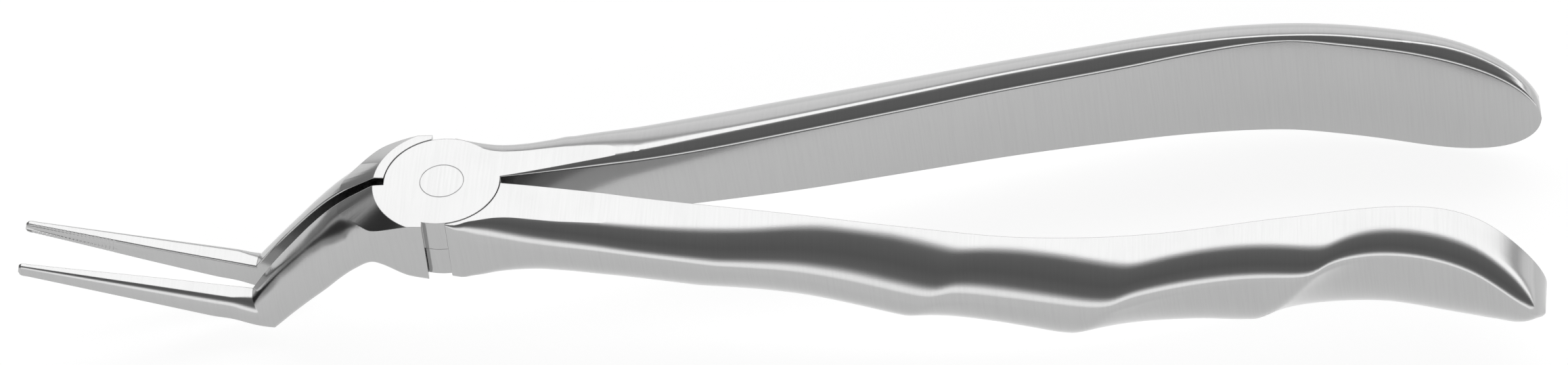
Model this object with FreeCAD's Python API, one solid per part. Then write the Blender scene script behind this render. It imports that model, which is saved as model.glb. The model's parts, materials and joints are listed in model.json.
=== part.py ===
import FreeCAD, Part
import math
import os
from FreeCAD import Placement, Rotation, Vector

# Dental extraction forceps: two crossed halves turning on a flush screw.
# Each half is shaped closed, with the pivot at the origin and its axis along Z,
# the handle towards +X and the beak towards -X. The handle of the front half
# runs on the +Y side, and the rear half is shaped alike and then mirrored.
# The forceps then lies down on the heels of its beaks and the edges of its
# handles, slightly open. Sizes are in millimetres and degrees.

# Lap joint
JOINT_THICKNESS = 9.4
LAP_RADIUS = 7.18
LAP_SIDE_GAP = 0.12
LAP_PLANE = 0.1
LAP_FACE_GAP = 0.06
REAR_LAP_RECESS = 0.5
BOSS_RADIUS = 8.55
BOSS_SLOPE = 31.0
BOSS_SLOPE_RUN = 9.0
SHOULDER_END = 2.3
NECK_START = 1.7

# Pivot screw, its head flush in the front half and its end in the rear half
SCREW_HEAD_RADIUS = 2.69
SCREW_HEAD_HEIGHT = 1.6
SCREW_SHANK_RADIUS = 2.0
SCREW_RUN_GAP = 0.05

# Each half is turned by this much from closed
REST_OPENING = 3.5

# Handles, from the pivot to their rounded ends
HANDLE_REACH = 134.5
HANDLE_END_LENGTH = 16.5
HANDLE_HALF_WIDTH = 7.05
FLAT_REACH = 24.0
INNER_EDGE_SLANT = 0.12

# Finger grooves of the rear half, their ridges placed along its back edge
GROOVE_START = 31.0
GROOVE_SLANT = 0.6
RIDGE_SOFTNESS = 0.12

# Shank, bend and beak
BEND_REACH = 25.3
BEND_DROP = 11.9
BEAK_REACH = 54.1
BEAK_RISE = 0.22
BEND_OUTER = 3.75
TIP_OUTER = 0.85
BEND_HEIGHT = 3.75
TIP_HEIGHT = 1.45
CLOSED_GAP = 0.03

# Grip of the beaks
TOOTH_PITCH = 0.48
TOOTH_COUNT = 22
TOOTH_DEPTH = 0.17
FIRST_TOOTH = 0.7
HOLLOW_REACH = 24.0
HOLLOW_TIP_RADIUS = 0.9
HOLLOW_BEND_RADIUS = 2.4
HOLLOW_DEPTH = 0.16

HALF_JOINT = JOINT_THICKNESS / 2
SHOULDER_RADIUS = LAP_RADIUS + LAP_SIDE_GAP
# Raw stock left above the flat faces before they are ground
STOCK = 0.5
BIG = 60.0


def along(points, x):
    """Value at x of a smooth curve through a few (x, value) points."""
    if x <= points[0][0]:
        return points[0][1]
    last = len(points) - 1
    slopes = []
    for i in range(len(points)):
        before = points[max(i - 1, 0)]
        after = points[min(i + 1, last)]
        slopes.append((after[1] - before[1]) / (after[0] - before[0]))
    for i in range(last):
        x0, v0 = points[i]
        x1, v1 = points[i + 1]
        if x <= x1:
            span = x1 - x0
            s = (x - x0) / span
            rise = v1 - v0
            start = slopes[i] * span
            end = slopes[i + 1] * span
            return v0 + s * (start + s * (3 * rise - 2 * start - end + s * (start + end - 2 * rise)))
    return points[-1][1]


def corner(start, turn, end, flats):
    """Narrow flats of a rounded corner that would be sharp at turn."""
    points = []
    for i in range(flats + 1):
        a = math.pi / 2 * i / flats
        points.append(tuple(t + (1 - math.sin(a)) * (s - t) + (1 - math.cos(a)) * (e - t)
                            for s, t, e in zip(start, turn, end)))
    return [list(pair) for pair in zip(points, points[1:])]


def outline(half, thickness, bevel, front, back, flats):
    """Curves round a section from its front inner edge to its back inner edge.

    Points are (outward, height), and the inner face lies at outward 0. thickness
    is a function of height, bevel, front and back are (outward, height) sizes
    of the inner bevels and of the two outer roundings, and flats is the number
    of narrow flats in each rounding."""
    high = half - front[1]
    low = back[1] - half

    def slope(height):
        return (thickness(height + 0.01) - thickness(height - 0.01)) / 0.02

    top = (thickness(high), high)
    base = (thickness(low), low)
    third = (high - low) / 3
    front_start = (top[0] - front[0], half)
    back_end = (base[0] - back[0], -half)
    curves = [[(0, half - bevel[1]), (bevel[0], half)], [(bevel[0], half), front_start]]
    curves += corner(front_start, (top[0] + front[1] * slope(high), half), top, flats[0])
    curves.append([top, (top[0] - third * slope(high), high - third),
                   (base[0] + third * slope(low), low + third), base])
    curves += corner(base, (base[0] - back[1] * slope(low), -half), back_end, flats[1])
    curves += [[back_end, (bevel[0], -half)], [(bevel[0], -half), (0, bevel[1] - half)],
               [(0, bevel[1] - half), (0, half - bevel[1])]]
    return curves


def loft(sections):
    """Solid through sections, each a closed run of curves given by their points."""
    wires = []
    for section in sections:
        edges = []
        for points in section:
            curve = Part.BezierCurve()
            curve.setPoles(points)
            edges.append(curve.toShape())
        wires.append(Part.Wire(edges))
    return Part.makeLoft(wires, True, False)


# Handles

def handle_half(x):
    """Half width of a handle, which rounds off to an ellipse at its end."""
    sizes = [(NECK_START, HALF_JOINT + STOCK), (12, HALF_JOINT + 0.3), (18, HALF_JOINT + 0.1),
             (FLAT_REACH, HALF_JOINT - 0.06), (31, HALF_JOINT + 0.06), (44, 5.15), (63, 5.6),
             (83, 5.95), (103, 6.9), (HANDLE_REACH - HANDLE_END_LENGTH, HANDLE_HALF_WIDTH)]
    end = max(0.0, (x - HANDLE_REACH + HANDLE_END_LENGTH) / HANDLE_END_LENGTH)
    return along(sizes, x) * math.sqrt(1 - end * end)


def handle_slant(x):
    return along([(20, 0), (44, 0.5), (63, 0.75), (83, 1)], x) * INNER_EDGE_SLANT


def handle_stations(step):
    """Places along a handle, closer together on the rounded end."""
    straight = HANDLE_REACH - HANDLE_END_LENGTH - NECK_START
    count = round(straight / step)
    places = [NECK_START + straight * i / count for i in range(count)]
    for angle in (0, 15, 30, 44, 57, 68, 77, 83.5):
        end = math.sin(math.radians(angle)) * HANDLE_END_LENGTH
        places.append(HANDLE_REACH - HANDLE_END_LENGTH + end)
    return places


def smooth_inner(x):
    return along([(NECK_START, 0.1), (7.4, 0.25), (20, 1.65), (32, 3.1), (44, 4.75), (64, 8.3),
                  (84, 11.4), (101, 13.0), (114, 11.1), (124, 8.3), (HANDLE_REACH, 4.8)], x)


def smooth_section(x):
    """Section of the front half's handle, which is half round."""
    half = handle_half(x)
    thick = along([(NECK_START, 7.1), (7.4, 7.5), (14, 7.7), (34, 7.7), (44, 7.4), (63, 7.0),
                   (88, 6.2), (102, 5.6), (118, 5.8), (127, 5.6), (HANDLE_REACH, 3.2)], x)
    bevel = along([(7.4, 0.15), (30, 1.3), (85, 1.3), (101, 0.8), (118, 1.0), (HANDLE_REACH, 0.4)], x)
    across = along([(NECK_START, 0.8), (7.4, 2.5), (11, 4.1), (16, 5.3), (24, 6.1)], x)
    across = min(across, thick - bevel - 0.25)
    down = along([(NECK_START, 0.8), (7.4, 2.3), (11, 3.6), (16, 4.2)], x)
    down = min(max(down, 0.84 * half if x > 16 else 0), 0.84 * half)
    size = (across, down)
    slim = min(0.36 * bevel, 0.3 * half)
    inner = smooth_inner(x)
    slant = handle_slant(x)
    return [[Vector(x, inner + out + slant * height, height) for out, height in curve]
            for curve in outline(half, lambda height: thick, (bevel, slim), size, size, (6, 6))]


def grooved_inner(x):
    return along([(NECK_START, -0.1), (7.4, -0.1), (20, 0.95), (32, 2.2), (44, 3.45), (58, 5.1),
                  (72, 6.15), (88, 5.0), (104, 2.1), (117, -0.2), (126, 0.8), (HANDLE_REACH, 6.8)], x)


# Ridges between the finger grooves: place, thickness, depth of the groove after
# the ridge, and how early in its run that groove is deepest
RIDGES = [(GROOVE_START, 5.85, 0.85, 1.0),
          (56.0, 6.25, 1.4, 0.75),
          (78.0, 7.05, 1.45, 0.9),
          (99.5, 6.3, 2.3, 0.56),
          (127.0, 6.9, 0, 1.0)]


def grooved_thickness(place):
    """Thickness of the grooved handle at a place along its back edge."""
    if place <= GROOVE_START:
        return along([(NECK_START, 7.5), (3, 7.95), (5, 7.8), (7.4, 7.2), (10.7, 6.6), (14, 6.15),
                      (20, 5.9), (GROOVE_START, RIDGES[0][1])], place)
    for this, after in zip(RIDGES, RIDGES[1:]):
        if place <= after[0]:
            share = (place - this[0]) / (after[0] - this[0])
            bowl = 4 * share ** this[3] * (1 - share ** this[3])
            soft = math.hypot(bowl, RIDGE_SOFTNESS) - RIDGE_SOFTNESS
            soft = soft / (math.hypot(1, RIDGE_SOFTNESS) - RIDGE_SOFTNESS)
            return this[1] + share * (after[1] - this[1]) - this[2] * soft
    return along([(RIDGES[-1][0], RIDGES[-1][1]), (130.5, 6.5), (HANDLE_REACH, 3.6)], place)


def grooved_section(x):
    """Section of the rear half's handle, flat in front and grooved outside."""
    half = handle_half(x)
    slant = along([(18, 0), (40, 1)], x) * GROOVE_SLANT

    def thickness(height):
        return grooved_thickness(x - slant * (height + half))

    across = along([(NECK_START, 0.25), (5, 0.7), (8, 1.4), (14, 1.6), (24, 2.4), (31, 2.9),
                    (38, 3.8), (46, 4.8)], x)
    down = along([(NECK_START, 0.25), (5, 0.7), (8, 1.4), (14, 1.8), (24, 2.6), (31, 3.2),
                  (38, 4.2), (46, 5.2)], x)
    down = min(down, 0.85 * half)
    front = (min(across, thickness(half - down) - 0.4), down)
    back = (min(2.0, 0.4 * thickness(-half)), min(2.0, 0.6 * half))
    edge = 0.12
    bevel = (edge, min(edge, 0.3 * half))
    inner = grooved_inner(x)
    slant_in = handle_slant(x)
    return [[Vector(x, inner + out + slant_in * height, height) for out, height in curve]
            for curve in outline(half, thickness, bevel, front, back, (6, 3))]


# Shank and beak

def shank_stations():
    """Sections from the shoulder to the beak tip, as
    (top x, top z, lean, depth, inner y, outer y)."""
    run = BEND_REACH - BOSS_RADIUS
    drop = HALF_JOINT + BEND_DROP
    raw = HALF_JOINT + STOCK
    stations = [(-SHOULDER_END, raw, 0, 2 * raw, 0.9, 7.65),
                (-5.0, raw, 0, raw + 4.5, 0.85, 7.4)]
    # Share of the run, share of the drop, lean, depth, inner y, outer y
    for share, fall, lean, depth, inner, outer in (
            (0.02, -0.02, 7, 8.2, 0.75, 6.8),
            (0.16, 0.055, 12, 7.1, 0.6, 6.4),
            (0.34, 0.21, 22, 6.4, 0.35, 5.95),
            (0.49, 0.37, 32, 5.9, 0.2, 5.4),
            (0.64, 0.54, 38, 5.6, 0.1, 4.95),
            (0.79, 0.72, 43, 5.3, 0.08, 4.5),
            (0.91, 0.88, 43, 5.0, 0.1, 4.2),
            (0.975, 0.965, 34, 4.9, 0.15, 4.05),
            (1.02, 1.0, 20, 4.7, 0.2, 3.95)):
        x = -BOSS_RADIUS - share * run
        stations.append((x, HALF_JOINT - fall * drop, lean, depth, inner, outer))
    lean = -math.degrees(math.atan(BEAK_RISE))
    length = BEAK_REACH - BEND_REACH
    stations.append((-BEND_REACH - 1.3, -BEND_DROP - 0.02, 4, 4.25, 0.2, BEND_OUTER))
    for share in (0.1, 0.19, 0.3, 0.45, 0.6, 0.75, 0.87, 0.95, 0.985):
        x = -BEND_REACH - share * length
        z = -BEND_DROP + (share * length - 1.3) * BEAK_RISE
        part = (share * length - 1.3) / (length - 1.3)
        depth = BEND_HEIGHT + part * (TIP_HEIGHT - BEND_HEIGHT)
        outer = BEND_OUTER + part * (TIP_OUTER - BEND_OUTER)
        inner = max(CLOSED_GAP, 0.2 * (1 - 2.2 * part))
        turned = -8 if share == 0.1 else lean
        stations.append((x, z, turned, depth, inner, outer))
    tip = -BEND_DROP + (length - 1.3) * BEAK_RISE
    stations.append((-BEAK_REACH, tip - 0.28, lean, TIP_HEIGHT * 0.6, 0.12, TIP_OUTER * 0.72))
    return stations


def shank_section(top_x, top_z, lean, depth, inner, outer):
    half = depth / 2
    thick = outer - inner
    up = Vector(-math.sin(math.radians(lean)), 0, math.cos(math.radians(lean)))
    middle = Vector(top_x, -inner, top_z) - up * half
    rounding = along([(-16.5, 2.4), (-13, 1.9), (-10.5, 0.9), (-7.5, 0.25), (-2, 0.2)], top_x)
    front = (min(0.45 * thick, rounding), min(0.55 * half, rounding))
    back = (min(0.3 * thick, 1.2), min(0.35 * half, 1.2))
    edge = min(0.2, 0.08 * depth)
    return [[middle - Vector(0, out, 0) + up * height for out, height in curve]
            for curve in outline(half, lambda height: thick, (edge, edge), front, back, (5, 3))]


def beak_frame():
    """Placement at the tip's inner face, with X running back along the beak."""
    angle = math.degrees(math.atan(BEAK_RISE))
    length = BEAK_REACH - BEND_REACH
    tip_z = -BEND_DROP + (length - 1.3) * BEAK_RISE - TIP_HEIGHT / 2
    return Placement(Vector(-BEAK_REACH, 0, tip_z), Rotation(Vector(0, 1, 0), angle))


def teeth():
    """Cross cuts of the grip, one zigzag cutter through both edges."""
    outside = 0.4
    points = [Vector(FIRST_TOOTH, outside, 0), Vector(FIRST_TOOTH, -CLOSED_GAP, 0)]
    for i in range(TOOTH_COUNT):
        start = FIRST_TOOTH + i * TOOTH_PITCH
        points.append(Vector(start + TOOTH_PITCH / 2, -CLOSED_GAP - TOOTH_DEPTH, 0))
        points.append(Vector(start + TOOTH_PITCH, -CLOSED_GAP, 0))
    points.append(Vector(FIRST_TOOTH + TOOTH_COUNT * TOOTH_PITCH, outside, 0))
    points.append(points[0])
    cutter = Part.Face(Part.makePolygon(points)).extrude(Vector(0, 0, 2 * BEND_HEIGHT))
    cutter.translate(Vector(0, 0, -BEND_HEIGHT))
    cutter.Placement = beak_frame().multiply(cutter.Placement)
    return cutter


def hollow():
    """Long hollow in the inner face, shallower towards the bend."""
    start = Vector(-1, HOLLOW_TIP_RADIUS - HOLLOW_DEPTH - CLOSED_GAP, 0)
    end = Vector(HOLLOW_REACH, HOLLOW_BEND_RADIUS + 0.05, -0.5)
    cone = Part.makeCone(HOLLOW_TIP_RADIUS, HOLLOW_BEND_RADIUS, (end - start).Length,
                         start, end - start)
    cone.Placement = beak_frame().multiply(cone.Placement)
    return cone


# Joint

def cylinder(radius, low, high):
    return Part.makeCylinder(radius, high - low, Vector(0, 0, low))


def boss_cone():
    """Space above the sloping front of a shank, round the flat boss."""
    fall = BOSS_SLOPE_RUN * math.tan(math.radians(BOSS_SLOPE))
    outer = BOSS_RADIUS + BOSS_SLOPE_RUN
    corners = [Vector(0, BOSS_RADIUS, HALF_JOINT), Vector(0, outer, HALF_JOINT - fall),
               Vector(0, outer, BIG), Vector(0, BOSS_RADIUS, BIG)]
    profile = Part.Face(Part.makePolygon(corners + corners[:1]))
    return profile.revolve(Vector(0, 0, 0), Vector(0, 0, 1), 180)


def flat_stock():
    """Stock above and below the flat faces of the joint and neck."""
    length = BIG + FLAT_REACH
    above = Part.makeBox(length, 2 * BIG, BIG, Vector(-BIG, -BIG, HALF_JOINT))
    below = Part.makeBox(FLAT_REACH + SHOULDER_END + 8, 2 * BIG, BIG,
                         Vector(-SHOULDER_END - 8, -BIG, -HALF_JOINT - BIG))
    return [above, below]


def rough_half(section, step):
    """Handle, shank, beak and joint disk as one solid, before the lap is cut."""
    handle = loft([section(x) for x in handle_stations(step)])
    shank = loft([shank_section(*station) for station in shank_stations()])
    disk = cylinder(LAP_RADIUS, -HALF_JOINT - STOCK, HALF_JOINT + STOCK)
    body = disk.fuse([handle, shank])
    return body.cut(flat_stock() + [boss_cone(), hollow(), teeth()])


def front_half():
    body = rough_half(smooth_section, 6.0)
    low = LAP_PLANE + LAP_FACE_GAP / 2
    head_seat = HALF_JOINT - SCREW_HEAD_HEIGHT - SCREW_RUN_GAP
    cuts = [cylinder(SHOULDER_RADIUS, -BIG, low),
            cylinder(SCREW_SHANK_RADIUS + SCREW_RUN_GAP, -BIG, BIG),
            cylinder(SCREW_HEAD_RADIUS + SCREW_RUN_GAP, head_seat, BIG)]
    return body.cut(cuts)


def rear_half():
    body = rough_half(grooved_section, 2.4)
    high = LAP_PLANE - LAP_FACE_GAP / 2
    cuts = [cylinder(SHOULDER_RADIUS, high, BIG),
            cylinder(SHOULDER_RADIUS, -BIG, REAR_LAP_RECESS - HALF_JOINT),
            cylinder(SCREW_SHANK_RADIUS, -BIG, BIG)]
    return body.cut(cuts).mirror(Vector(0, 0, 0), Vector(0, 1, 0))


def pivot_screw():
    head = cylinder(SCREW_HEAD_RADIUS, HALF_JOINT - SCREW_HEAD_HEIGHT, HALF_JOINT)
    return head.fuse(cylinder(SCREW_SHANK_RADIUS, REAR_LAP_RECESS - HALF_JOINT, HALF_JOINT)).removeSplitter()


def resting_turn(shapes):
    """Tilt about Y that brings the beak heels and the handle edges level."""
    heel = min((v for s in shapes for v in s.tessellate(0.05)[0] if v.x < 0), key=lambda v: v.z)
    edge = [v for s in shapes for v in s.tessellate(0.05)[0] if v.x > HANDLE_REACH / 2]
    slope = min((v.z - heel.z) / (v.x - heel.x) for v in edge)
    return math.degrees(math.atan(slope))


def main():
    parts = {
        "front_half": front_half(),
        "rear_half": rear_half(),
        "pivot_screw": pivot_screw(),
    }
    for name, angle in (("front_half", REST_OPENING), ("rear_half", -REST_OPENING), ("pivot_screw", -REST_OPENING)):
        parts[name].rotate(Vector(0, 0, 0), Vector(0, 0, 1), angle)
    tilt = resting_turn(list(parts.values()))
    for shape in parts.values():
        shape.rotate(Vector(0, 0, 0), Vector(0, 1, 0), tilt)
    box = FreeCAD.BoundBox()
    for shape in parts.values():
        box.add(shape.optimalBoundingBox())
    move = Vector(-box.Center.x, -box.Center.y, -box.ZMin)
    os.makedirs("parts", exist_ok=True)
    for name, shape in parts.items():
        shape.translate(move)
        shape.exportStep(os.path.join("parts", name + ".step"))
        print(name, "valid", shape.isValid(), "solids", len(shape.Solids), "volume", round(shape.Volume, 2))
    print("tilt", round(tilt, 4), "pivot", [round(c, 4) for c in move])
    print("size", round(box.XLength, 2), round(box.YLength, 2), round(box.ZLength, 2))


main()
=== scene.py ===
import bmesh
import bpy
import json
import math
from mathutils import Matrix, Vector


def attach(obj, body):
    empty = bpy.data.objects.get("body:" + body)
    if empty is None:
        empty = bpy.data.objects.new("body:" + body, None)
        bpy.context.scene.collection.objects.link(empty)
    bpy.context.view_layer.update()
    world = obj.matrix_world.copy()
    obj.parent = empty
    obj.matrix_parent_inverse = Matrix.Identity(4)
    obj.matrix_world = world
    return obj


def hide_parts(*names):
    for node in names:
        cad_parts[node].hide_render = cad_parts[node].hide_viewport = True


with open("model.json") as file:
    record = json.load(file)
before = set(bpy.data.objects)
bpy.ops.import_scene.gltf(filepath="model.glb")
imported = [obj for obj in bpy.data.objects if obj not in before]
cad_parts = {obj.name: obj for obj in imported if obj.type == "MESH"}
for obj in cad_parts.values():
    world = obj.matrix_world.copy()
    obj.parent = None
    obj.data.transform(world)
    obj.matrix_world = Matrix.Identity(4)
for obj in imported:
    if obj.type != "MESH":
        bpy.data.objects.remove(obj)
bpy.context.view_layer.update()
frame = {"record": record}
scene = bpy.context.scene
scene.view_settings.view_transform = "Standard"

# The joint gives the pivot and the tilt at which the forceps lies
joint = frame["record"]["behaviour"]["joints"][0]
pivot = Vector(joint["pos_m"])
axis = Vector(joint["axis"]).normalized()
tilt = Matrix.Rotation(math.atan2(axis.x, axis.z), 3, "Y")

# Camera: directions and metres about the pivot, with the screw's axis as Z
VIEW_RIGHT = Vector((0.996, 0.0544, -0.0708))
VIEW_BACK = Vector((0.0888, -0.6849, 0.7232))
VIEW_ASIDE = 0.04166
VIEW_ABOVE = 0.00304
VIEW_DISTANCE = 0.8
VIEW_CLIP_START = 0.01
PHOTO_WIDTH_PIXELS = 2317
FOCAL_LENGTH_PIXELS = 9600
SENSOR_WIDTH = 36

# Shapes are in millimetres about the pivot, with the halves closed: X runs along the
# handles, Z is the screw's axis and the front half's handle lies towards +Y. Both halves
# are built as a front half. The rear one is then mirrored in Y.
METRES_PER_UNIT = 0.001

# Lap joint
JOINT_THICKNESS = 9.4
HALF_JOINT = JOINT_THICKNESS / 2
LAP_RADIUS = 7.18
LAP_SIDE_GAP = 0.12
LAP_PLANE = 0.1
LAP_FACE_GAP = 0.06
REAR_LAP_RECESS = 0.5
SHOULDER_RADIUS = LAP_RADIUS + LAP_SIDE_GAP
SHOULDER_END = 2.3
BOSS_RADIUS = 8.55
BOSS_SLOPE = 31.0
BOSS_SLOPE_RUN = 9.0
REST_OPENING = 3.46

# Screw, flush with the flat of the front half
SCREW_HEAD_RADIUS = 2.69
SCREW_HEAD_HEIGHT = 1.6
SCREW_SHANK_RADIUS = 2.0
SCREW_RUN_GAP = 0.012

# Handles
NECK_START = 1.5
FLAT_REACH = 24.0
BACK_FLAT_SHIFT = 8.0
HANDLE_REACH = 135.0
HANDLE_END_LENGTH = 16.5
HANDLE_END_BLUNTNESS = 2.5
HANDLE_END_ANGLE = 88
INNER_EDGE_SLANT = 0.12
INNER_ROUNDING = 0.4
EDGE_SHARE = 0.3
SMOOTH_HALF_WIDTH = 7.35
SMOOTH_EDGE = 0.15
GROOVED_HALF_WIDTH = 7.1
GROOVED_EDGE = 0.12
GROOVED_FRONT_LEFT = 0.5
GROOVED_SIDE_LEFT = 0.4
GROOVED_BACK_ROUNDING = 6.8
GROOVE_START = 31.0
GROOVE_SLANT = 0.75
RIDGE_LEVEL = 0.75
RIDGE_SOFTNESS = 0.3

# Shanks and beaks
BEND_REACH = 25.5
BEND_DROP = 12.4
BEND_INNER = 0.2
BEND_OUTER = 3.5
BEND_HEIGHT = 3.6
HEEL_DEPTH = 4.2
HEEL_SETBACK = 2.6
HEEL_SWELL = 0.3
SHANK_EDGE = 0.15
SHANK_BACK_ROUNDING = 1.0
BEAK_REACH = 53.95
BEAK_RISE = 0.231
TIP_OUTER = 0.85
TIP_HEIGHT = 1.45
TIP_SET_DOWN = 0.28
TIP_INNER = 0.12
CLOSED_GAP = 0.03
TOOTH_PITCH = 0.48
TOOTH_COUNT = 22
TOOTH_DEPTH = 0.17
FIRST_TOOTH = 0.7
HOLLOW_START = 1.0
HOLLOW_REACH = 24.0
HOLLOW_TIP_RADIUS = 0.54
HOLLOW_BEND_RADIUS = 2.4
HOLLOW_DEPTH = 0.34
HOLLOW_FADE = 0.05
HOLLOW_FALL = 0.5

# Metal that stands past the joint's flats before they are cut, and a reach past every shape
STOCK = 0.5
FLAT_STOCK = 0.02
BIG = 60.0

# Steps round a section, along a part and round the turned shapes
ARC_STEPS = 14
SIDE_STEPS = 8
EDGE_STEPS = 4
HANDLE_STEPS = 200
HANDLE_END_STEPS = 24
SHANK_STEPS = 8
BOSS_STEPS = 96
CIRCLE_STEPS = 160
HOLLOW_STEPS = 64

# Faces that meet at less than the crease angle look like one smooth surface
CREASE_ANGLE = 24
MERGE_DISTANCE = 1e-7
FLAT_ALIGNMENT = 0.99999

# Steel: lightest grey and how much darker the marks are, least and most roughness,
# scales of the textures per metre, and the grain's depth and the softened edge in metres
STEEL_GREY = 0.465
SATIN_MARKS = 0.014
SCREW_MARKS = 0.022
ROUGHNESS = (0.1, 0.2)
CLOUD_SCALE = 160
BRUSH_SCALE = (4200, 130, 130)
GRAIN_SCALE = 7000
GRAIN_STRENGTH = 0.3
GRAIN_DEPTH = 0.00001
SOFT_EDGE = 0.00014

# Studio: brightness by the angle in degrees from straight up towards +Y. Towards the
# beaks' side, -X, it falls to the dim share, less so for directions that lie towards -Y.
STUDIO = [(-180, 1.0), (-102, 1.0), (-92, 1.24), (-80, 1.64), (-68, 1.55), (-56, 0.69),
          (-46, 0.28), (-38, 0.21), (-12, 0.17), (24, 0.21), (32, 0.86), (37, 2.05),
          (49, 2.05), (54, 0.72), (59, 0.52), (67, 1.07), (95, 1.24), (135, 1.1), (180, 1.0)]
STUDIO_DIM_SHARE = 0.26
STUDIO_DIM_BELOW = -0.62
STUDIO_FULL_ABOVE = -0.3
STUDIO_SIDE_RAISE = 0.8

# Floor, in metres
FLOOR_HALF_WIDTH = 3.0
FLOOR_LEVEL = -0.0004
FLOOR_MATT_GREY = 0.3
FLOOR_GLOW = 0.86


def add_camera():
    """Camera of the photograph, as solved from the joint and the halves."""
    right = VIEW_RIGHT.normalized()
    back = (VIEW_BACK - right * VIEW_BACK.dot(right)).normalized()
    up = back.cross(right)
    place = right * VIEW_ASIDE + up * VIEW_ABOVE + back * VIEW_DISTANCE
    turn = tilt @ Matrix((right, up, back)).transposed()
    camera = bpy.data.objects.new("camera", bpy.data.cameras.new("camera"))
    camera.data.sensor_width = SENSOR_WIDTH
    camera.data.lens = SENSOR_WIDTH * FOCAL_LENGTH_PIXELS / PHOTO_WIDTH_PIXELS
    camera.data.clip_start = VIEW_CLIP_START
    camera.matrix_world = Matrix.Translation(pivot + tilt @ place) @ turn.to_4x4()
    scene.collection.objects.link(camera)
    scene.camera = camera


def along(points, x):
    """Value at x of a smooth curve through a few (x, value) points."""
    if x <= points[0][0]:
        return points[0][1]
    last = len(points) - 1
    slopes = []
    for i in range(len(points)):
        before = points[max(i - 1, 0)]
        after = points[min(i + 1, last)]
        slopes.append((after[1] - before[1]) / (after[0] - before[0]))
    for i in range(last):
        x0, v0 = points[i]
        x1, v1 = points[i + 1]
        if x <= x1:
            span = x1 - x0
            s = (x - x0) / span
            rise = v1 - v0
            start = slopes[i] * span
            end = slopes[i + 1] * span
            return v0 + s * (start + s * (3 * rise - 2 * start - end + s * (start + end - 2 * rise)))
    return points[-1][1]


def inner_edge(half, bevel):
    """Rounding between the inner face and the bevel in front of it."""
    size = min(INNER_ROUNDING, 0.45 * bevel[0])
    length = math.hypot(bevel[0], bevel[1])
    start = Vector((0, half - bevel[1] - size))
    turn = Vector((0, half - bevel[1]))
    end = turn + Vector((bevel[0], bevel[1])) * (size / length)
    return [tuple((1 - s) ** 2 * start + 2 * s * (1 - s) * turn + s * s * end)
            for s in (0, 0.2, 0.4, 0.6, 0.8, 1)]


def outline(half, thickness, bevels, front, back, fall=0):
    """Points round a section from its front inner edge to its back inner edge.

    The bevels of the inner edges and the front and back roundings are extents across
    and along the height. The thickness is given by the height. The front falls off
    towards its rounding by a share of that rounding."""
    first, second = bevels
    high = half - front[1]
    low = back[1] - half
    turn = half - fall * front[0]
    points = inner_edge(half, first)
    for i in range(2, EDGE_STEPS + 1):
        points.append((first[0] * i / EDGE_STEPS, half - first[1] * (1 - i / EDGE_STEPS)))
    start = thickness(half) - front[0]
    for i in range(1, EDGE_STEPS):
        points.append((first[0] + (start - first[0]) * i / EDGE_STEPS, half))
    for i in range(ARC_STEPS + 1):
        a = math.pi / 2 * i / ARC_STEPS
        height = turn + (1 - math.sin(a)) * (half - turn) + (1 - math.cos(a)) * (high - turn)
        points.append((thickness(height) - (1 - math.sin(a)) * front[0], height))
    for i in range(1, SIDE_STEPS):
        height = high + (low - high) * i / SIDE_STEPS
        points.append((thickness(height), height))
    for i in range(ARC_STEPS + 1):
        a = math.pi / 2 * i / ARC_STEPS
        height = -half + (1 - math.sin(a)) * back[1]
        points.append((thickness(height) - (1 - math.cos(a)) * back[0], height))
    end = points[-1][0]
    for i in range(1, EDGE_STEPS + 1):
        points.append((end + (second[0] - end) * i / EDGE_STEPS, -half))
    for i in range(1, EDGE_STEPS + 1):
        points.append((second[0] * (1 - i / EDGE_STEPS), second[1] * i / EDGE_STEPS - half))
    span = half - max(first[1], second[1])
    points += [(0, span * (i - 3) / 3) for i in (1, 2, 3, 4)]
    return points


def handle_half(x, middle, widest):
    """Half width of a handle, which rounds off to a blunt end."""
    sizes = [(NECK_START, HALF_JOINT + STOCK), (12, HALF_JOINT + 0.3), (18, HALF_JOINT + 0.1),
             (FLAT_REACH, HALF_JOINT - 0.04), (31, HALF_JOINT + 0.1)]
    sizes += [(place, share * widest) for place, share in middle]
    sizes.append((HANDLE_REACH - HANDLE_END_LENGTH, widest))
    end = max(0.0, (x - HANDLE_REACH + HANDLE_END_LENGTH) / HANDLE_END_LENGTH)
    return along(sizes, x) * math.sqrt(1 - end ** HANDLE_END_BLUNTNESS)


def handle_slant(x):
    """Lean of a handle's inner face, as millimetres across for each in height."""
    return along([(20, 0), (44, 0.5), (63, 0.75), (83, 1)], x) * INNER_EDGE_SLANT


def handle_stations():
    """Places of the handle's sections, closer together towards its end."""
    straight = HANDLE_REACH - HANDLE_END_LENGTH - NECK_START
    places = [NECK_START + straight * i / HANDLE_STEPS for i in range(HANDLE_STEPS)]
    for i in range(HANDLE_END_STEPS + 1):
        end = math.sin(math.radians(i * HANDLE_END_ANGLE / HANDLE_END_STEPS)) * HANDLE_END_LENGTH
        places.append(HANDLE_REACH - HANDLE_END_LENGTH + end)
    return places


def smooth_inner(x):
    """Place across of the plain handle's inner face."""
    return along([(NECK_START, 0.1), (7.4, 0.25), (20, 1.65), (32, 3.15), (44, 5.0), (57, 7.3),
                  (70, 9.6), (84, 11.65), (92, 12.7), (99, 13.25), (105, 13.15),
                  (HANDLE_REACH - 24, 12.1), (HANDLE_REACH - 17.6, 10.55),
                  (HANDLE_REACH - 11, 8.6), (HANDLE_REACH, 5.2)], x)


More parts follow.
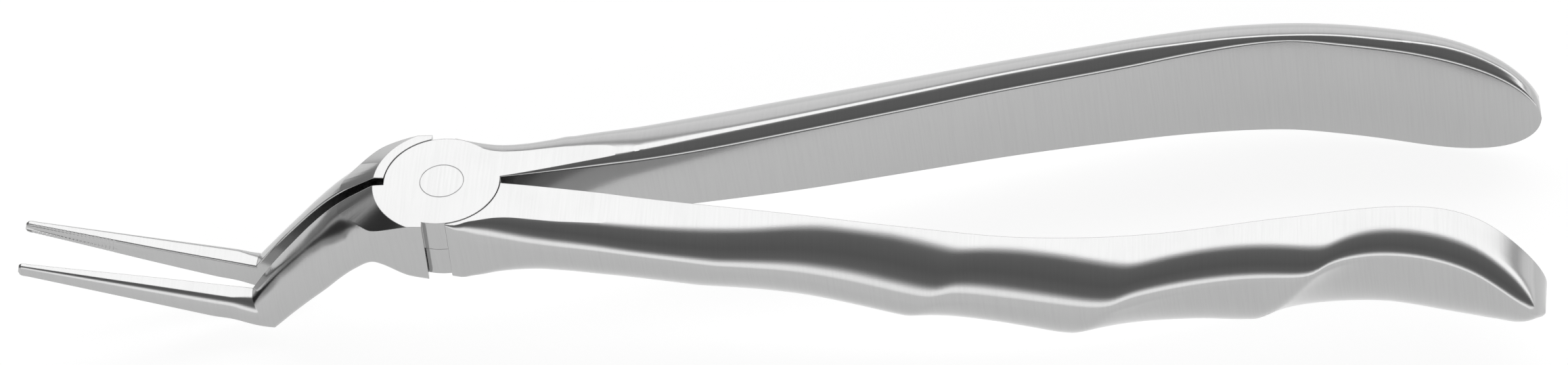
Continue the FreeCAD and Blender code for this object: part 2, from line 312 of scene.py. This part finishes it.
def smooth_section(x):
    """Section of the front half's handle, half round with a bevel in front."""
    half = handle_half(x, [(44, 0.714), (63, 0.769), (83, 0.837), (103, 0.973)], SMOOTH_HALF_WIDTH)
    if x < FLAT_REACH:
        half = min(half, HALF_JOINT + FLAT_STOCK)
    thick = along([(NECK_START, 7.3), (7.4, 7.15), (11, 7.35), (16, 7.75), (24, 8.1), (36, 8.4),
                   (44, 8.4), (57, 8.1), (70, 7.75), (84, 7.55), (94, 7.25), (104, 6.8),
                   (HANDLE_REACH - 18, 7.3), (HANDLE_REACH - 11, 7.0),
                   (HANDLE_REACH - 5, 5.9), (HANDLE_REACH, 3.6)], x)
    bevel = along([(7.4, 0.15), (30, 1.5), (44, 1.7), (84, 1.8), (92, 1.25), (104, 0.6),
                   (HANDLE_REACH - 24, 1.0), (HANDLE_REACH - 17, 1.2),
                   (HANDLE_REACH - 10, 1.6), (HANDLE_REACH, 1.2)], x)
    across = along([(NECK_START, 0.5), (2.6, 1.2), (5.9, 2.9), (9, 3.6), (12.9, 4.1),
                    (18, 5.0), (24, 6.0), (34, 7)], x)
    land = along([(30, 0.9), (44, 0.6), (70, 0.38), (100, 0.25), (120, 0.3)], x)
    across = min(across, thick - bevel - land)
    neck_down = along([(NECK_START, 0.5), (2.6, 1.2), (5.9, 2.6), (9, 3.6), (12.9, 4.3),
                       (16, 4.2), (17, 9)], x)
    down = min(neck_down, along([(16, 0.86), (36, 0.75)], x) * half)
    slim = EDGE_SHARE * min(bevel, half)
    edge = min(SMOOTH_EDGE, EDGE_SHARE * half)
    inner = smooth_inner(x)
    slant = handle_slant(x)
    fall = along([(18, 0), (36, 0.18)], x)
    points = outline(half, lambda height: thick, ((bevel, slim), (edge, edge)), (across, down),
                     (min(across, 0.7 * thick), down), fall)
    return [(x, inner + out + slant * height, height) for out, height in points]


def grooved_inner(x):
    """Place across of the grooved handle's inner face."""
    return along([(NECK_START, -0.1), (7.4, -0.1), (20, 0.95), (32, 2.2), (44, 3.45), (58, 5.1),
                  (72, 6.2), (88, 5.1), (104, 2.2), (HANDLE_REACH - 18, -0.1),
                  (HANDLE_REACH - 9, 0.8), (HANDLE_REACH, 6.0)], x)


# Ridges between the grooves: place, thickness there, depth of the groove that follows
# and share of that groove at which it is deepest
RIDGES = [(GROOVE_START, 5.85, 0.85, 0.5),
          (57.0, 6.25, 1.4, 0.42),
          (77.6, 7.05, 1.45, 0.46),
          (99.2, 6.3, 2.3, 0.3),
          (127.0, 6.9, 0, 0.5)]


def grooved_thickness(place):
    """Thickness of the grooved handle at a place along its slanted grooves."""
    if place <= GROOVE_START:
        return along([(NECK_START, 7.5), (3, 7.95), (5, 7.7), (7.4, 7.05), (10.7, 6.35), (14, 5.95),
                      (20, 5.8), (GROOVE_START, RIDGES[0][1])], place)
    for (start, size, depth, deepest), (end, next_size, _, _) in zip(RIDGES, RIDGES[1:]):
        if place <= end:
            share = (place - start) / (end - start)
            skew = (1 - 2 * deepest) / deepest
            warped = share * (1 + skew) / (1 + skew * share)
            bowl = 4 * warped * (1 - warped)
            soft = math.hypot(bowl, RIDGE_SOFTNESS) - RIDGE_SOFTNESS
            soft = soft / (math.hypot(1, RIDGE_SOFTNESS) - RIDGE_SOFTNESS)
            return size + share * (next_size - size) - depth * soft
    last, size = RIDGES[-1][:2]
    rest = HANDLE_REACH - last
    return along([(last, size), (HANDLE_REACH - 0.5 * rest, 6.4), (HANDLE_REACH, 4.2)], place)


def grooved_section(x):
    """Section of the rear half's handle, flat in front and grooved outside."""
    half = handle_half(x, [(44, 0.729), (63, 0.792), (83, 0.847), (103, 0.98)], GROOVED_HALF_WIDTH)
    if x < FLAT_REACH:
        half = min(half, HALF_JOINT + FLAT_STOCK)
    slant = along([(18, 0), (40, 1)], x) * GROOVE_SLANT
    swell = along([(4, 0.0), (8, 1.1), (12, 2.1), (16, 2.45), (40, 2.3), (47, 2.15),
                   (57, 2.35), (70, 2.75), (97, 2.65), (HANDLE_REACH - 14, 2.9),
                   (HANDLE_REACH - 7, 2.1), (HANDLE_REACH, 0.3)], x)

    def thickness(height):
        return swell + grooved_thickness(x - slant * (height + RIDGE_LEVEL * half))

    across = along([(NECK_START, 0.2), (2.5, 0.5), (4.7, 1.5), (9, 2.7), (15.7, 3.2), (24, 4.0),
                    (32, 4.8), (42, 6.1), (52, 7.2), (66, 7.0), (86, 5.8), (106, 4.5), (120, 3.9)], x)
    down = along([(NECK_START, 0.25), (2.5, 0.8), (4.7, 2.4), (9, 2.7), (15.7, 2.6), (24, 2.5),
                  (32, 2.8), (42, 3.8), (52, 4.8), (66, 4.7), (86, 3.4), (106, 2.2), (120, 1.8)], x)
    down = min(down, 1.15 * half)
    across = min(across, thickness(half) - GROOVED_FRONT_LEFT, thickness(half - down) - GROOVED_FRONT_LEFT)
    round_back = along([(NECK_START, 0.1), (4, 0.25), (8, 0.6), (12, 0.9), (16, 1)], x)
    back_across = min(GROOVED_BACK_ROUNDING * round_back, 0.8 * thickness(-half))
    back_height = min(1.2 * half, 2 * half - down - GROOVED_SIDE_LEFT) * round_back
    edge = min(GROOVED_EDGE, EDGE_SHARE * half)
    inner = grooved_inner(x)
    slant_in = handle_slant(x)
    points = outline(half, thickness, ((edge, edge), (edge, edge)), (across, down),
                     (back_across, back_height))
    return [(x, inner + out + slant_in * height, height) for out, height in points]


def heel_station():
    """Section across the bend, from its front corner to the heel."""
    lean = math.degrees(math.atan2(HEEL_SETBACK, HEEL_DEPTH))
    depth = math.hypot(HEEL_SETBACK, HEEL_DEPTH)
    return (-BEND_REACH, -BEND_DROP, lean, depth, BEND_INNER, BEND_OUTER + HEEL_SWELL)


def shank_stations():
    """Sections from the shoulder to the bend, each as the place of its top, its lean in
    degrees, its depth and its inner and outer distance from the plane between the halves."""
    run = BEND_REACH - BOSS_RADIUS
    drop = HALF_JOINT + BEND_DROP
    raw = HALF_JOINT + STOCK
    stations = [(-SHOULDER_END, raw, 0, 2 * raw, 0.3, 7.65),
                (-5.0, raw, 0, raw + 4.5, 0.2, 7.4)]
    # Share of the run, share of the drop, lean, depth, inner y, outer y
    for share, fall, lean, depth, inner, outer in (
            (0.02, 0.0, 8, 7.9, 0.12, 6.75),
            (0.16, 0.0825, 17, 6.6, 0.1, 6.3),
            (0.34, 0.2185, 27, 6.25, 0.08, 5.8),
            (0.49, 0.365, 35, 6.1, 0.08, 5.3),
            (0.64, 0.535, 40, 5.95, 0.08, 4.85),
            (0.79, 0.714, 43, 5.6, 0.08, 4.4),
            (0.91, 0.872, 40, 5.2, 0.1, 4.05)):
        x = -BOSS_RADIUS - share * run
        stations.append((x, HALF_JOINT - fall * drop, lean, depth, inner, outer))
    return stations + [heel_station()]


def beak_stations():
    """Sections from the bend to the tip of the beak."""
    lean = -math.degrees(math.atan(BEAK_RISE))
    length = BEAK_REACH - BEND_REACH
    stations = [heel_station()]
    for share in (0.07, 0.16, 0.3, 0.45, 0.6, 0.75, 0.87, 0.95, 0.985):
        x = -BEND_REACH - share * length
        z = -BEND_DROP + share * length * BEAK_RISE
        depth = BEND_HEIGHT + share * (TIP_HEIGHT - BEND_HEIGHT)
        outer = BEND_OUTER + share * (TIP_OUTER - BEND_OUTER)
        inner = max(CLOSED_GAP, BEND_INNER * (1 - 2.2 * share))
        # The section next to the bend stands upright, so that the bend is short
        turned = 0 if share == 0.07 else lean
        stations.append((x, z, turned, depth, inner, outer))
    tip = -BEND_DROP + length * BEAK_RISE
    stations.append((-BEAK_REACH, tip - TIP_SET_DOWN, lean, TIP_HEIGHT * 0.6, TIP_INNER, TIP_OUTER * 0.72))
    return stations


def between(stations, parts):
    """More sections on smooth curves through the given ones."""
    places = [0.0]
    for a, b in zip(stations, stations[1:]):
        places.append(places[-1] + math.hypot(a[0] - b[0], a[1] - b[1], (a[3] - b[3]) * 0.5))
    rows = [list(zip(places, column)) for column in zip(*stations)]
    made = []
    for i in range(len(stations) - 1):
        for j in range(parts):
            place = places[i] + (places[i + 1] - places[i]) * j / parts
            made.append(tuple(along(row, place) for row in rows))
    made.append(stations[-1])
    return made


def shank_section(top_x, top_z, lean, depth, inner, outer):
    """Section of a shank or beak, square to its lean, rounded in front and outside."""
    half = depth / 2
    thick = outer - inner
    up = Vector((-math.sin(math.radians(lean)), 0, math.cos(math.radians(lean))))
    middle = Vector((top_x, -inner, top_z)) - up * half
    across = along([(-28, 0.35), (-25.5, 0.6), (-22, 0.85), (-13, 0.85), (-10.5, 0.66), (-8.5, 0.42),
                    (-6, 0.2), (-3.5, 0.06)], top_x) * thick
    down = along([(-28, 0.5), (-25.5, 0.6), (-22, 0.74), (-13, 0.74), (-10.5, 0.5), (-8.5, 0.25),
                  (-6, 0.1), (-3.5, 0.03)], top_x) * depth
    back = (min(0.3 * thick, SHANK_BACK_ROUNDING), min(0.35 * half, SHANK_BACK_ROUNDING))
    edge = min(SHANK_EDGE, 0.08 * depth)
    points = outline(half, lambda height: thick, ((edge, edge), (edge, edge)), (across, down), back)
    return [tuple(middle - Vector((0, out, 0)) + up * height) for out, height in points]


def beak_frame():
    """Placement at the tip's inner face, with X running back along the beak."""
    angle = math.atan(BEAK_RISE)
    length = BEAK_REACH - BEND_REACH
    tip_z = -BEND_DROP + length * BEAK_RISE - TIP_HEIGHT / 2
    return Matrix.Translation((-BEAK_REACH, 0, tip_z)) @ Matrix.Rotation(angle, 4, "Y")


def mesh_object(name, points, faces, place=None):
    """Object with a mesh whose faces all look outward."""
    mesh = bpy.data.meshes.new(name)
    mesh.from_pydata([tuple(p) for p in points], [], faces)
    if place:
        mesh.transform(place)
    shape = bmesh.new()
    shape.from_mesh(mesh)
    bmesh.ops.recalc_face_normals(shape, faces=shape.faces)
    shape.to_mesh(mesh)
    shape.free()
    made = bpy.data.objects.new(name, mesh)
    scene.collection.objects.link(made)
    return made


def skin(name, rings, place=None):
    """Closed mesh through rings of equally many points."""
    count = len(rings[0])
    points = [p for ring in rings for p in ring]
    faces = []
    for r in range(len(rings) - 1):
        for i in range(count):
            j = (i + 1) % count
            faces.append((r * count + i, r * count + j, (r + 1) * count + j, (r + 1) * count + i))
    faces.append(tuple(range(count)))
    faces.append(tuple((len(rings) - 1) * count + i for i in range(count)))
    return mesh_object(name, points, faces, place)


def circle(radius, height, count=CIRCLE_STEPS):
    """Ring of points round the screw's axis."""
    return [(radius * math.cos(math.tau * i / count), radius * math.sin(math.tau * i / count), height)
            for i in range(count)]


def cylinder(radius, low, high):
    return skin("cylinder", [circle(radius, low), circle(radius, high)])


def block(low, high):
    corners = ((low[0], low[1]), (high[0], low[1]), (high[0], high[1]), (low[0], high[1]))
    return skin("block", [[(x, y, z) for x, y in corners] for z in (low[2], high[2])])


def boss_cone():
    """Cutter for the sloping shoulder round the joint on the beaks' side."""
    fall = BOSS_SLOPE_RUN * math.tan(math.radians(BOSS_SLOPE))
    outer = BOSS_RADIUS + BOSS_SLOPE_RUN
    profile = [(BOSS_RADIUS, HALF_JOINT), (outer, HALF_JOINT - fall), (outer, BIG), (BOSS_RADIUS, BIG)]
    rings = []
    for i in range(BOSS_STEPS + 1):
        a = math.radians(90 + 180 * i / BOSS_STEPS)
        rings.append([(r * math.cos(a), r * math.sin(a), z) for r, z in profile])
    return skin("boss_cone", rings)


def teeth():
    """Cutter for the cross cuts in a beak's inner edges, near its tip."""
    outside = 0.4
    profile = [(FIRST_TOOTH, outside), (FIRST_TOOTH, -CLOSED_GAP)]
    for i in range(TOOTH_COUNT):
        start = FIRST_TOOTH + i * TOOTH_PITCH
        profile.append((start + TOOTH_PITCH / 2, -CLOSED_GAP - TOOTH_DEPTH))
        profile.append((start + TOOTH_PITCH, -CLOSED_GAP))
    profile.append((FIRST_TOOTH + TOOTH_COUNT * TOOTH_PITCH, outside))
    rings = [[(x, y, z) for x, y in profile] for z in (-BEND_HEIGHT, BEND_HEIGHT)]
    return skin("teeth", rings, beak_frame())


def hollow():
    """Cutter for the hollow along a beak's inner face, which fades out towards the bend."""
    start = Vector((-HOLLOW_START, HOLLOW_TIP_RADIUS - HOLLOW_DEPTH - CLOSED_GAP, 0))
    end = Vector((HOLLOW_REACH, HOLLOW_BEND_RADIUS + HOLLOW_FADE, -HOLLOW_FALL))
    direction = end - start
    turn = direction.to_track_quat("Z", "Y").to_matrix().to_4x4()
    rings = [circle(HOLLOW_TIP_RADIUS, 0, HOLLOW_STEPS),
             circle(HOLLOW_BEND_RADIUS, direction.length, HOLLOW_STEPS)]
    return skin("hollow", rings, beak_frame() @ Matrix.Translation(start) @ turn)


def combine(body, others, how):
    """Applies a union or difference with each of the others, which are used up."""
    for other in others:
        change = body.modifiers.new(how, "BOOLEAN")
        change.operation = how
        change.solver = "EXACT"
        change.object = other
        graph = bpy.context.evaluated_depsgraph_get()
        result = bpy.data.meshes.new_from_object(body.evaluated_get(graph))
        body.modifiers.clear()
        body.data = result
        bpy.data.objects.remove(other)
    return body


def rough_half(section):
    """Handle, disk, shank and beak in one, with the joint's flats, without its laps."""
    handle = skin("handle", [section(x) for x in handle_stations()])
    shank = skin("shank", [shank_section(*s) for s in between(shank_stations(), SHANK_STEPS)])
    beak = skin("beak", [shank_section(*s) for s in between(beak_stations(), SHANK_STEPS)])
    disk = cylinder(LAP_RADIUS, -HALF_JOINT - STOCK, HALF_JOINT + STOCK)
    body = combine(disk, [handle, shank, beak], "UNION")
    above = block((-BIG, -BIG, HALF_JOINT), (FLAT_REACH, BIG, BIG))
    below = block((-SHOULDER_END - BACK_FLAT_SHIFT, -BIG, -BIG),
                  (FLAT_REACH - BACK_FLAT_SHIFT, BIG, -HALF_JOINT))
    return combine(body, [above, below, boss_cone(), hollow(), teeth()], "DIFFERENCE")


def front_shape():
    """Front half: room for the rear lap and the stepped hole of the screw cut away."""
    low = LAP_PLANE + LAP_FACE_GAP / 2
    head_seat = HALF_JOINT - SCREW_HEAD_HEIGHT - SCREW_RUN_GAP
    return combine(rough_half(smooth_section), [
        cylinder(SHOULDER_RADIUS, -BIG, low),
        cylinder(SCREW_SHANK_RADIUS + SCREW_RUN_GAP, -BIG, BIG),
        cylinder(SCREW_HEAD_RADIUS + SCREW_RUN_GAP, head_seat, BIG)], "DIFFERENCE")


def rear_shape():
    """Rear half: room for the front lap, the recess behind and the screw's hole cut away."""
    high = LAP_PLANE - LAP_FACE_GAP / 2
    body = combine(rough_half(grooved_section), [
        cylinder(SHOULDER_RADIUS, high, BIG),
        cylinder(SHOULDER_RADIUS, -BIG, REAR_LAP_RECESS - HALF_JOINT),
        cylinder(SCREW_SHANK_RADIUS, -BIG, BIG)], "DIFFERENCE")
    body.data.transform(Matrix.Scale(-1, 4, (0, 1, 0)))
    body.data.flip_normals()
    return body


def screw_shape():
    """Stepped screw, from the recess of the rear lap to the flat of the front one."""
    rings = [circle(SCREW_SHANK_RADIUS, REAR_LAP_RECESS - HALF_JOINT),
             circle(SCREW_SHANK_RADIUS, HALF_JOINT - SCREW_HEAD_HEIGHT),
             circle(SCREW_HEAD_RADIUS, HALF_JOINT - SCREW_HEAD_HEIGHT),
             circle(SCREW_HEAD_RADIUS, HALF_JOINT)]
    return skin("screw", rings)


def settle(body, name, opening):
    """Puts a shape where its CAD node is and gives it crisp edges between smooth faces."""
    place = Matrix.Translation(pivot) @ tilt.to_4x4() @ Matrix.Rotation(math.radians(opening), 4, "Z")
    body.data.transform(place @ Matrix.Scale(METRES_PER_UNIT, 4))
    body.name = name
    body.data.name = name
    shape = bmesh.new()
    shape.from_mesh(body.data)
    bmesh.ops.remove_doubles(shape, verts=shape.verts, dist=MERGE_DISTANCE)
    # Flat faces across the screw's axis keep crisp rims, so that they look flat
    flats = {face for face in shape.faces if abs(face.normal.dot(axis)) > FLAT_ALIGNMENT}
    for face in shape.faces:
        face.smooth = True
    for edge in shape.edges:
        edge.smooth = (len(edge.link_faces) == 2
                       and edge.calc_face_angle(0) < math.radians(CREASE_ANGLE)
                       and len(flats.intersection(edge.link_faces)) != 1)
    shape.to_mesh(body.data)
    shape.free()
    body.data.materials.clear()
    return body


def node(tree, kind, **values):
    made = tree.nodes.new(kind)
    for name, value in values.items():
        setattr(made, name, value)
    return made


def link(tree, source, target):
    tree.links.new(source, target)


def ramp_node(tree, stops):
    """Colour ramp of greys from (position, grey) stops."""
    made = node(tree, "ShaderNodeValToRGB")
    while len(made.color_ramp.elements) < len(stops):
        made.color_ramp.elements.new(0.5)
    for stop, (position, grey) in zip(made.color_ramp.elements, stops):
        stop.position = position
        stop.color = (grey, grey, grey, 1)
    return made


def range_node(tree, source, before, after, kind="LINEAR"):
    """Node that maps a source from the range before to the range after."""
    made = node(tree, "ShaderNodeMapRange", interpolation_type=kind)
    made.inputs["From Min"].default_value, made.inputs["From Max"].default_value = before
    made.inputs["To Min"].default_value, made.inputs["To Max"].default_value = after
    link(tree, source, made.inputs["Value"])
    return made


def noise_node(tree, vector, scale, detail):
    made = node(tree, "ShaderNodeTexNoise")
    made.inputs["Scale"].default_value = scale
    made.inputs["Detail"].default_value = detail
    link(tree, vector, made.inputs["Vector"])
    return made


def studio_light(tree):
    """Background with bright and dark bands, which are what the steel reflects."""
    coords = node(tree, "ShaderNodeTexCoord")
    split = node(tree, "ShaderNodeSeparateXYZ")
    link(tree, coords.outputs["Generated"], split.inputs[0])
    angle = node(tree, "ShaderNodeMath", operation="ARCTAN2")
    link(tree, split.outputs["Y"], angle.inputs[0])
    link(tree, split.outputs["Z"], angle.inputs[1])
    spread = range_node(tree, angle.outputs[0], (-math.pi, math.pi), (0, 1))
    bands = ramp_node(tree, [((degrees + 180) / 360, light) for degrees, light in STUDIO])
    link(tree, spread.outputs[0], bands.inputs[0])
    side = node(tree, "ShaderNodeMath", operation="MINIMUM")
    link(tree, split.outputs["Y"], side.inputs[0])
    side.inputs[1].default_value = 0
    raised = node(tree, "ShaderNodeMath", operation="MULTIPLY_ADD")
    link(tree, side.outputs[0], raised.inputs[0])
    raised.inputs[1].default_value = -STUDIO_SIDE_RAISE
    link(tree, split.outputs["X"], raised.inputs[2])
    shade = range_node(tree, raised.outputs[0], (STUDIO_DIM_BELOW, STUDIO_FULL_ABOVE),
                       (STUDIO_DIM_SHARE, 1), "SMOOTHSTEP")
    scaled = node(tree, "ShaderNodeVectorMath", operation="SCALE")
    link(tree, bands.outputs[0], scaled.inputs[0])
    link(tree, shade.outputs[0], scaled.inputs["Scale"])
    light = node(tree, "ShaderNodeBackground")
    link(tree, scaled.outputs[0], light.inputs["Color"])
    return light


def add_studio():
    """World that lights the object and is white where the camera sees it."""
    world = bpy.data.worlds.new("studio")
    scene.world = world
    world.use_nodes = True
    tree = world.node_tree
    tree.nodes.clear()
    light = studio_light(tree)
    white = node(tree, "ShaderNodeBackground")
    white.inputs["Color"].default_value = (1, 1, 1, 1)
    path = node(tree, "ShaderNodeLightPath")
    mix = node(tree, "ShaderNodeMixShader")
    link(tree, path.outputs["Is Camera Ray"], mix.inputs[0])
    link(tree, light.outputs[0], mix.inputs[1])
    link(tree, white.outputs[0], mix.inputs[2])
    out = node(tree, "ShaderNodeOutputWorld")
    link(tree, mix.outputs[0], out.inputs[0])


def steel(name, marks):
    """Satin steel with fine grain, soft mottling and straight brush marks."""
    material = bpy.data.materials.new(name)
    material.use_nodes = True
    tree = material.node_tree
    shader = tree.nodes["Principled BSDF"]
    shader.inputs["Metallic"].default_value = 1
    coords = node(tree, "ShaderNodeTexCoord").outputs["Object"]
    # Brush marks in the colour, long along Y and narrow along X
    stretch = node(tree, "ShaderNodeMapping")
    stretch.inputs["Scale"].default_value = BRUSH_SCALE
    link(tree, coords, stretch.inputs["Vector"])
    brush = noise_node(tree, stretch.outputs[0], 1, 3)
    tone = ramp_node(tree, [(0.3, STEEL_GREY - marks), (0.6, STEEL_GREY)])
    link(tree, brush.outputs["Fac"], tone.inputs[0])
    link(tree, tone.outputs[0], shader.inputs["Base Color"])
    # Soft mottling of the roughness
    cloud = noise_node(tree, coords, CLOUD_SCALE, 4)
    rough = range_node(tree, cloud.outputs["Fac"], (0, 1), ROUGHNESS)
    link(tree, rough.outputs[0], shader.inputs["Roughness"])
    # Fine grain of the blasted surface, over slightly softened edges
    grain = noise_node(tree, coords, GRAIN_SCALE, 2)
    bump = node(tree, "ShaderNodeBump")
    bump.inputs["Strength"].default_value = GRAIN_STRENGTH
    bump.inputs["Distance"].default_value = GRAIN_DEPTH
    link(tree, grain.outputs["Fac"], bump.inputs["Height"])
    soft = node(tree, "ShaderNodeBevel")
    soft.samples = 6
    soft.inputs["Radius"].default_value = SOFT_EDGE
    link(tree, soft.outputs[0], bump.inputs["Normal"])
    link(tree, bump.outputs[0], shader.inputs["Normal"])
    return material


def pale_floor():
    """White by its own glow, with the object's soft shadow in its matt part."""
    material = bpy.data.materials.new("pale_floor")
    material.use_nodes = True
    tree = material.node_tree
    tree.nodes.clear()
    matt = node(tree, "ShaderNodeBsdfDiffuse")
    matt.inputs["Color"].default_value = (FLOOR_MATT_GREY, FLOOR_MATT_GREY, FLOOR_MATT_GREY, 1)
    glow = node(tree, "ShaderNodeEmission")
    glow.inputs["Color"].default_value = (1, 1, 1, 1)
    glow.inputs["Strength"].default_value = FLOOR_GLOW
    both = node(tree, "ShaderNodeAddShader")
    link(tree, matt.outputs[0], both.inputs[0])
    link(tree, glow.outputs[0], both.inputs[1])
    out = node(tree, "ShaderNodeOutputMaterial")
    link(tree, both.outputs[0], out.inputs[0])
    return material


def add_floor():
    """Wide floor just under the heels of the beaks and the handles."""
    ends = (-FLOOR_HALF_WIDTH, FLOOR_HALF_WIDTH)
    corners = [(ends[0], ends[0]), (ends[1], ends[0]), (ends[1], ends[1]), (ends[0], ends[1])]
    mesh = bpy.data.meshes.new("floor")
    mesh.from_pydata([(x, y, FLOOR_LEVEL) for x, y in corners], [], [(0, 1, 2, 3)])
    mesh.materials.append(pale_floor())
    floor = bpy.data.objects.new("floor", mesh)
    scene.collection.objects.link(floor)


add_camera()
front = settle(front_shape(), "front_steel", REST_OPENING)
rear = settle(rear_shape(), "rear_steel", -REST_OPENING)
screw = settle(screw_shape(), "screw_steel", -REST_OPENING)
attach(front, "front")
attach(rear, "rear")
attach(screw, "rear")
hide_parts("front_half")
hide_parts("rear_half")
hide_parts("pivot_screw")

satin = steel("satin_steel", SATIN_MARKS)
front.data.materials.append(satin)
rear.data.materials.append(satin)
screw.data.materials.append(steel("screw_steel", SCREW_MARKS))
add_studio()
add_floor()
